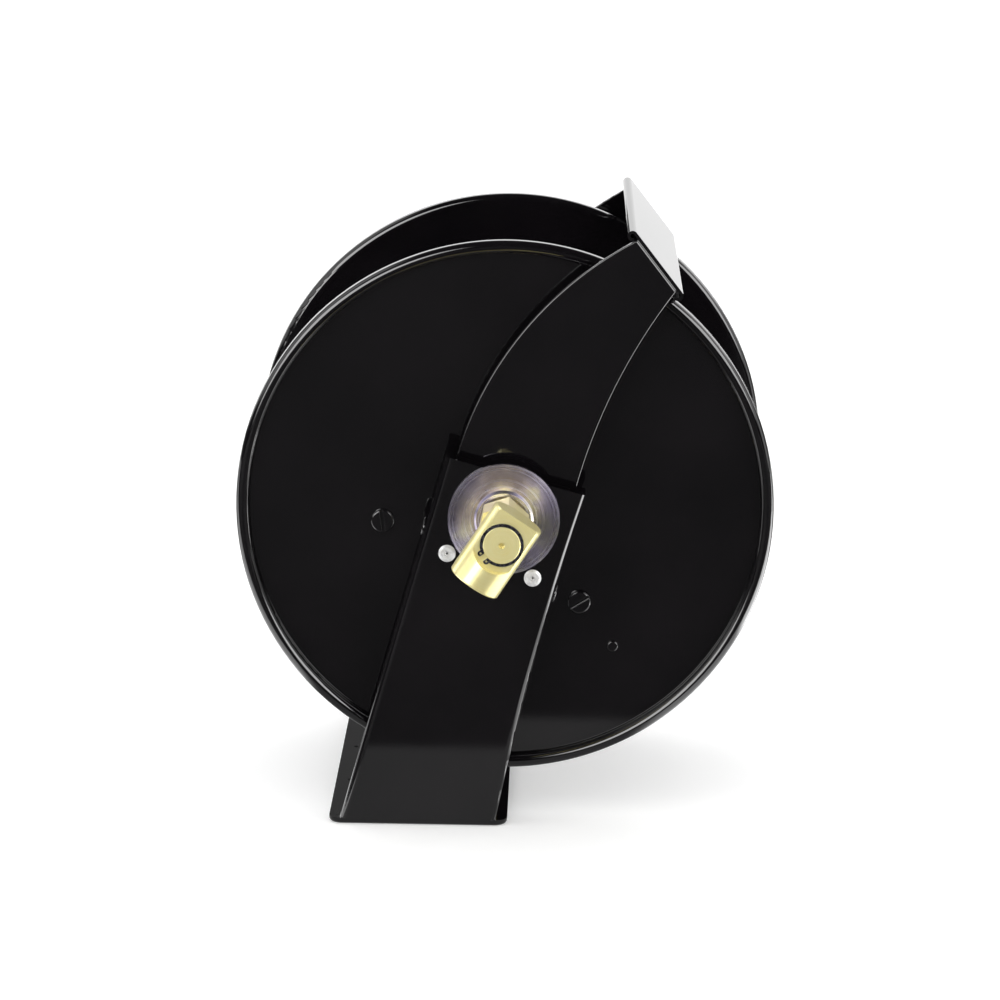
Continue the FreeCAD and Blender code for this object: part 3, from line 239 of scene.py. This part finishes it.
def turned_rings(n, scale):
    """Lathe rings about the reel's axis, from 0 to 1, uneven from ring to ring."""
    x, _, z = n.split(n.place(HUB))
    square = n.maths("ADD", n.maths("MULTIPLY", x, x), n.maths("MULTIPLY", z, z))
    radius = n.add("ShaderNodeCombineXYZ")
    n.wire(n.maths("SQRT", square), radius.inputs["X"])
    return n.noise(radius.outputs["Vector"], scale, 2)


def zinc_plate():
    """Bright zinc with a passivated rainbow: blue, violet and straw patches on turned rings."""
    n = Nodes("zinc_plate")
    rings = turned_rings(n, ZINC_RINGS)
    cloud = n.noise(n.place(), 34, 3, 0.55)
    tint = n.ramp(cloud, [(0.34, (0.20, 0.17, 0.26)), (0.47, (0.34, 0.30, 0.40)),
                          (0.58, (0.50, 0.47, 0.40)), (0.70, (0.40, 0.38, 0.50))])
    tint = n.mix(n.ramp(rings, [(0.35, 0), (0.7, 0.35)]), tint, (0.62, 0.60, 0.66))
    rough = n.ramp(rings, [(0.3, 0.20), (0.8, 0.34)])
    return n.finish(Base_Color=tint, Metallic=0.9, Roughness=rough, Anisotropic=0.8,
                    Tangent=n.turned_grain())


def bright_zinc():
    """Fresh pale zinc, nearly white in soft light."""
    n = Nodes("bright_zinc")
    grain = n.noise(n.place(), 700, 3)
    return n.finish(Base_Color=n.ramp(grain, [(0.3, 0.62), (0.75, 0.85)]), Metallic=0.35,
                    Roughness=n.ramp(grain, [(0.3, 0.3), (0.75, 0.5)]))


def metal(name, low, high, smooth, dull):
    """A plain machined or plated metal with a fine grain and uneven polish."""
    n = Nodes(name)
    where = n.place()
    cloud = n.noise(where, 45, 4, 0.6)
    fine = n.noise(where, METAL_GRAIN, 3)
    rough = n.ramp(fine, [(0.3, smooth), (0.75, dull)])
    return n.finish(Base_Color=n.mix(cloud, low, high), Metallic=1.0, Roughness=rough,
                    Normal=n.bump(fine, 0.1, METAL_GRAIN_HEIGHT))


def brass():
    """Machined yellow brass with lathe rings about the reel's axis and soft stains."""
    n = Nodes("brass")
    rings = turned_rings(n, BRASS_RINGS)
    cloud = n.noise(n.place(), 60, 4, 0.6)
    colour = n.mix(cloud, (0.86, 0.72, 0.24), (0.97, 0.91, 0.50))
    colour = n.mix(n.ramp(rings, [(0.4, 0), (0.75, 0.25)]), colour, (0.99, 0.95, 0.70))
    rough = n.ramp(rings, [(0.3, 0.27), (0.8, 0.36)])
    return n.finish(Base_Color=colour, Metallic=0.55, Roughness=rough)


def rubber():
    """Matt black seal rubber with a fine grain."""
    n = Nodes("rubber")
    grain = n.noise(n.place(), 900, 3)
    return n.finish(Base_Color=n.ramp(grain, [(0.3, 0.012), (0.8, 0.03)]), Roughness=0.6,
                    Normal=n.bump(grain, 0.2, 0.0001))


MATERIALS = {
    "black_powder_coat": powder_coat("black_powder_coat"),
    "black_fastener": powder_coat("black_fastener", FASTENER_EDGE),
    "zinc_plate": zinc_plate(),
    "bright_zinc": bright_zinc(),
    "plain_steel": metal("plain_steel", (0.30, 0.30, 0.31), (0.44, 0.43, 0.43), 0.28, 0.45),
    "ground_steel": metal("ground_steel", (0.52, 0.52, 0.53), (0.64, 0.64, 0.64), 0.14, 0.26),
    "spring_steel": metal("spring_steel", (0.10, 0.11, 0.14), (0.17, 0.16, 0.18), 0.2, 0.35),
    "yellow_brass": brass(),
    "seal_rubber": rubber(),
}


def dress_nodes():
    """Give every CAD node the material of its slot."""
    for part in frame["record"]["subparts"]:
        mesh = NODES[part["node"]].data
        mesh.materials.clear()
        mesh.materials.append(MATERIALS[part["material_slot"]])


# ---------------------------------------------------------------- stage, light and camera

def floor_glow(n):
    """How bright the gloss sees the floor, by place."""
    x, y, _ = n.split(n.add("ShaderNodeTexCoord").outputs["Object"])
    front = n.maths("MULTIPLY", n.step(y, FLOOR_EDGE, FLOOR_EDGE_SOFT), FLOOR_FRONT)
    behind = n.maths("MULTIPLY", n.step(y, FLOOR_BEHIND, FLOOR_BEHIND_SOFT), CARD_GLOW)
    sides = 0.0
    for edge, to_left, strength in FLOOR_SIDES:
        beyond = n.step(x, edge, FLOOR_SIDES_SOFT, falling=to_left)
        sides = n.maths("MULTIPLY_ADD", beyond, strength, sides)
    depth = n.band(y, *SIDE_DEPTHS, SIDE_DEPTHS_SOFT)
    return n.maths("MULTIPLY_ADD", sides, depth, n.maths("ADD", front, behind))


def stage_floor():
    """A pale floor with a faint shadow, which the gloss sees as set above."""
    n = Nodes("floor")
    pale = n.ramp(n.noise(n.place(), 30, 4), [(0.3, 0.87), (0.8, 0.91)])
    path = n.add("ShaderNodeLightPath")
    gloss = path.outputs["Is Glossy Ray"]
    shade = n.maths("MULTIPLY", path.outputs["Is Camera Ray"], FLOOR_LIFT)
    light = n.maths("MULTIPLY_ADD", gloss, floor_glow(n), shade)
    material = n.finish(Base_Color=n.mix(gloss, pale, (0.01, 0.01, 0.01)), Roughness=0.7,
                        Specular_IOR_Level=0.2, Emission_Color=(1, 1, 1), Emission_Strength=light)
    bpy.ops.mesh.primitive_plane_add(size=FLOOR_SIZE)
    floor = bpy.context.object
    floor.name = "floor"
    floor.data.materials.append(material)


def back_card():
    """A pale card behind the reel that only the gloss sees."""
    n = Nodes("card")
    glow = n.maths("MULTIPLY_ADD", n.noise(n.place(), 6, 2), 0.1, CARD_GLOW)
    material = n.finish(Base_Color=(0.0, 0.0, 0.0), Roughness=1.0, Specular_IOR_Level=0.0,
                        Emission_Color=(1, 1, 1), Emission_Strength=glow)
    left, right = CARD_ACROSS
    bottom, top = CARD_UP
    outline = ((left, bottom), (right, bottom), (right, top), (left, top))
    mesh = bpy.data.meshes.new("card")
    mesh.from_pydata([(across, CARD_BACK, up) for across, up in outline], [], [(0, 1, 2, 3)])
    mesh.materials.append(material)
    card = bpy.data.objects.new("card", mesh)
    bpy.context.scene.collection.objects.link(card)
    for ray in ("visible_camera", "visible_diffuse", "visible_shadow", "visible_transmission"):
        setattr(card, ray, False)


def panels_glow(n):
    """How bright the gloss sees the studio, by direction."""
    x, y, z = n.split(n.add("ShaderNodeTexCoord").outputs["Generated"])
    degrees = 180 / math.pi
    azimuth = n.maths("MULTIPLY", n.maths("ARCTAN2", x, y), degrees)
    elevation = n.maths("MULTIPLY", n.maths("ARCSINE", z), degrees)
    behind = n.band(azimuth, -BACKDROP_HALF, BACKDROP_HALF, BACKDROP_SOFT)
    glow = n.maths("MULTIPLY_ADD", behind, BACKDROP, FRONT)
    for across, up, soft, strength in PANELS:
        panel = n.maths("MULTIPLY", n.band(azimuth, *across, soft), n.band(elevation, *up, soft))
        glow = n.maths("MULTIPLY_ADD", panel, strength, glow)
    return glow


def studio_world():
    """White to the camera, even to matt surfaces, and a studio of soft panels to the gloss."""
    n = World("studio")
    gloss = n.add("ShaderNodeLightPath").outputs["Is Glossy Ray"]
    matt = n.maths("MULTIPLY", n.maths("SUBTRACT", 1.0, gloss), DIFFUSE_SKY)
    n.wire(n.maths("MULTIPLY_ADD", gloss, panels_glow(n), matt), n.shader.inputs["Strength"])
    n.shader.inputs["Color"].default_value = (1, 1, 1, 1)


def add_camera():
    """The camera, turned from looking along +Y by its yaw, pitch and roll."""
    data = bpy.data.cameras.new("camera")
    data.lens = CAMERA_LENS
    data.sensor_width = CAMERA_SENSOR
    camera = bpy.data.objects.new("camera", data)
    yaw, pitch, roll = (math.radians(angle) for angle in (CAMERA_YAW, CAMERA_PITCH, CAMERA_ROLL))
    turn = (Matrix.Rotation(-yaw, 4, "Z") @ Matrix.Rotation(math.pi / 2 - pitch, 4, "X")
            @ Matrix.Rotation(roll, 4, "Z"))
    camera.matrix_world = Matrix.Translation(CAMERA_PLACE) @ turn
    bpy.context.scene.collection.objects.link(camera)
    bpy.context.scene.camera = camera


dress_nodes()
stage_floor()
back_card()
studio_world()
add_camera()
bpy.context.scene.view_settings.view_transform = "Standard"
